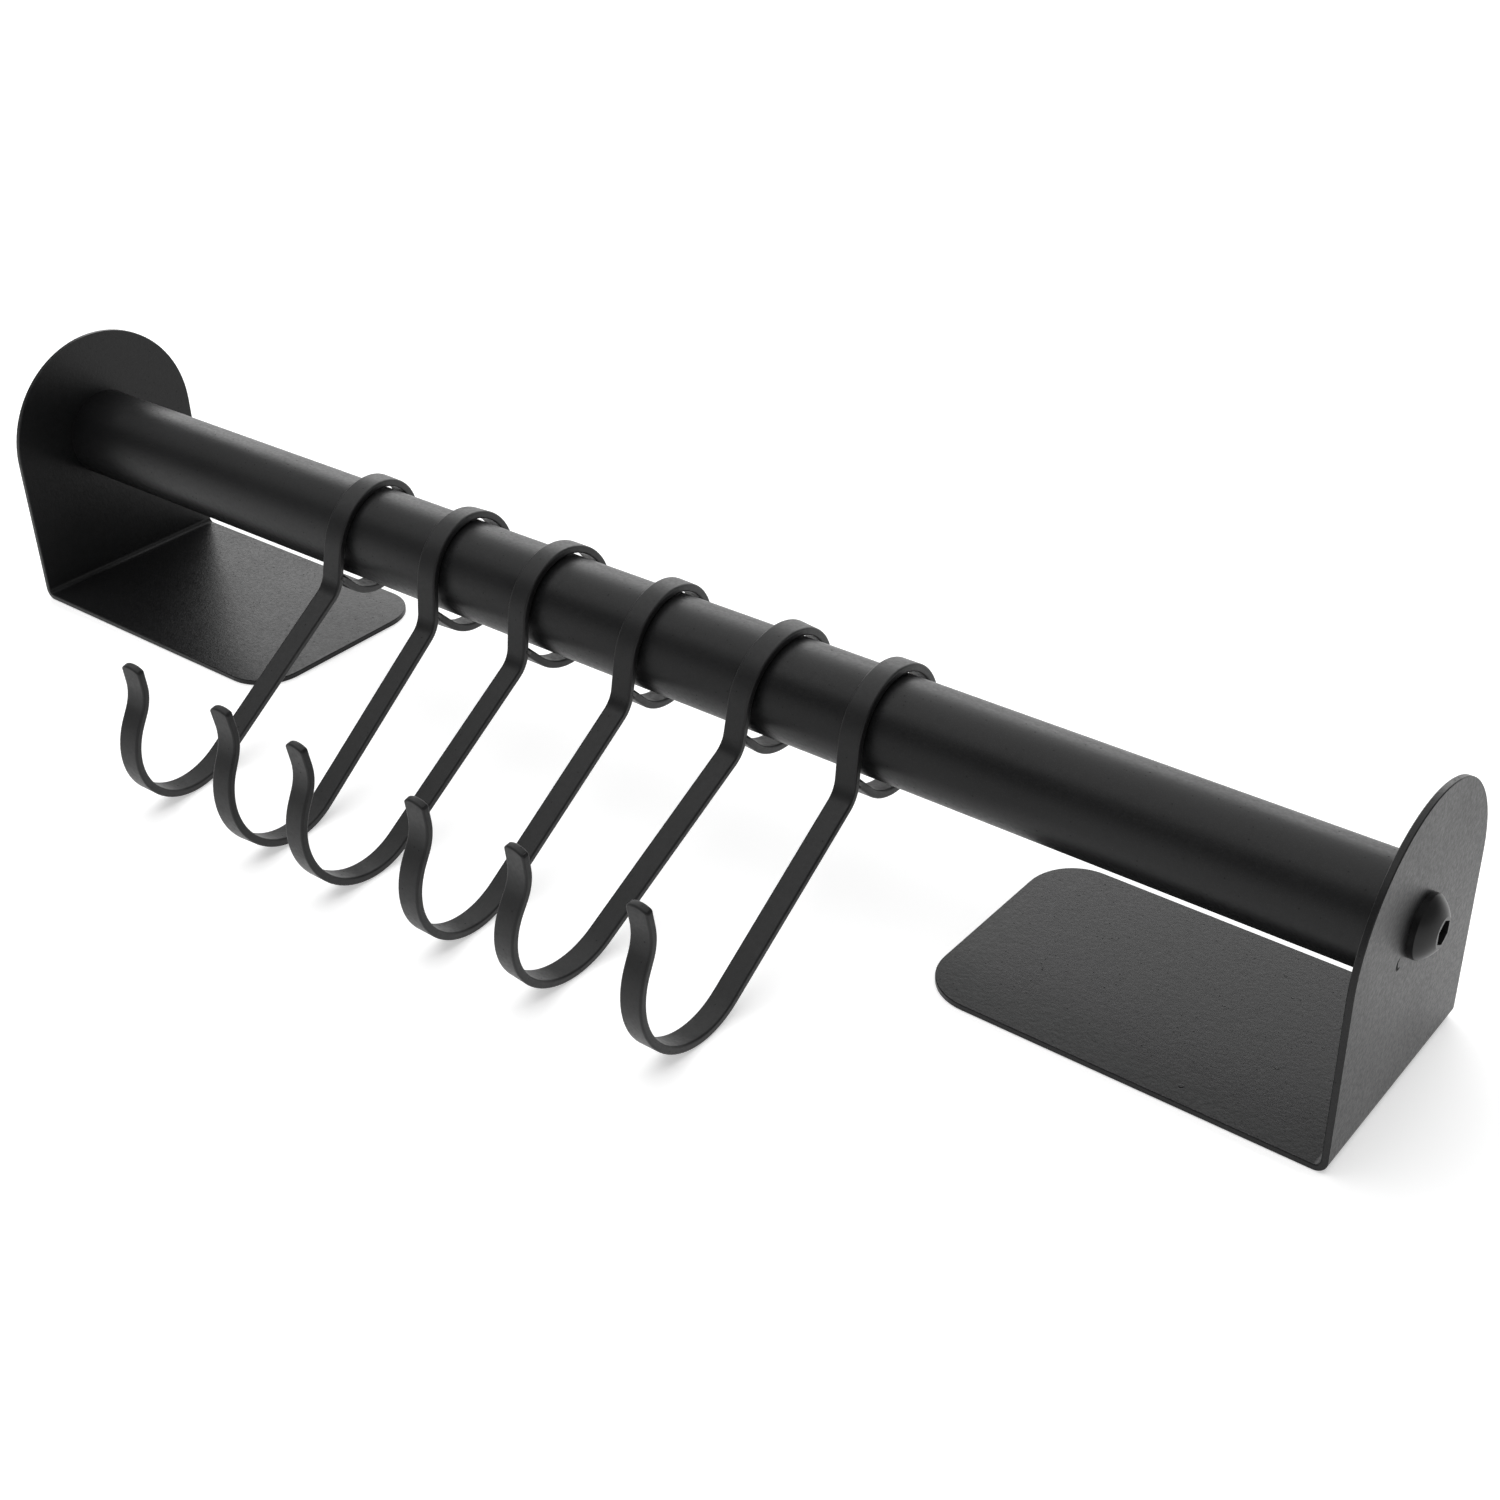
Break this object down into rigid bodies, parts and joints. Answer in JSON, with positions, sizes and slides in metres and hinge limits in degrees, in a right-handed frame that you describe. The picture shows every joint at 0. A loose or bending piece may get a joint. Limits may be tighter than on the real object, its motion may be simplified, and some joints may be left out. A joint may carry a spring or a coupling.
{
  "type": "kitchen utensil rail",
  "caption": "Round tube held between two folded end brackets, with flat-bar hooks hanging on it by closed rings, for hanging kitchen utensils.",
  "frame": {"origin": "on the plane of the two flanges' undersides, half way along the rail and under the tube's axis", "axes": "+X along the tube, +Z from the flanges' undersides towards the tube, -Y towards the hooks' bowls"},
  "size_m": [0.4188, 0.121, 0.0728],
  "materials": {
    "tube": "satin black powder coat, very fine texture",
    "bracket": "satin black powder coat with fine orange-peel texture",
    "screw": "blackened steel, satin",
    "plug": "plain turned steel, inside the tube",
    "hook": "matte black powder coat"
  },
  "bodies": {
    "rail": {"tube": "tube", "left_bracket": "bracket", "right_bracket": "bracket", "left_screw": "screw", "right_screw": "screw", "left_plug": "plug", "right_plug": "plug"},
    "hook_1": {"hook_1": "hook"},
    "hook_2": {"hook_2": "hook"},
    "hook_3": {"hook_3": "hook"},
    "hook_4": {"hook_4": "hook"},
    "hook_5": {"hook_5": "hook"},
    "hook_6": {"hook_6": "hook"}
  },
  "joints": [
    {"name": "hook_1_swing", "type": "hinge", "parent": "rail", "child": "hook_1", "pos_m": [-0.0899, 0, 0.0426], "axis": [-1, 0, 0], "range_deg": [0, 205]},
    {"name": "hook_2_swing", "type": "hinge", "parent": "rail", "child": "hook_2", "pos_m": [-0.0543, 0, 0.0426], "axis": [-1, 0, 0], "range_deg": [0, 205]},
    {"name": "hook_3_swing", "type": "hinge", "parent": "rail", "child": "hook_3", "pos_m": [-0.0214, 0, 0.0426], "axis": [-1, 0, 0], "range_deg": [0, 205]},
    {"name": "hook_4_swing", "type": "hinge", "parent": "rail", "child": "hook_4", "pos_m": [0.0127, 0, 0.0426], "axis": [-1, 0, 0], "range_deg": [0, 205]},
    {"name": "hook_5_swing", "type": "hinge", "parent": "rail", "child": "hook_5", "pos_m": [0.0484, 0, 0.0426], "axis": [-1, 0, 0], "range_deg": [0, 205]},
    {"name": "hook_6_swing", "type": "hinge", "parent": "rail", "child": "hook_6", "pos_m": [0.0792, 0, 0.0426], "axis": [-1, 0, 0], "range_deg": [0, 205]}
  ]
}
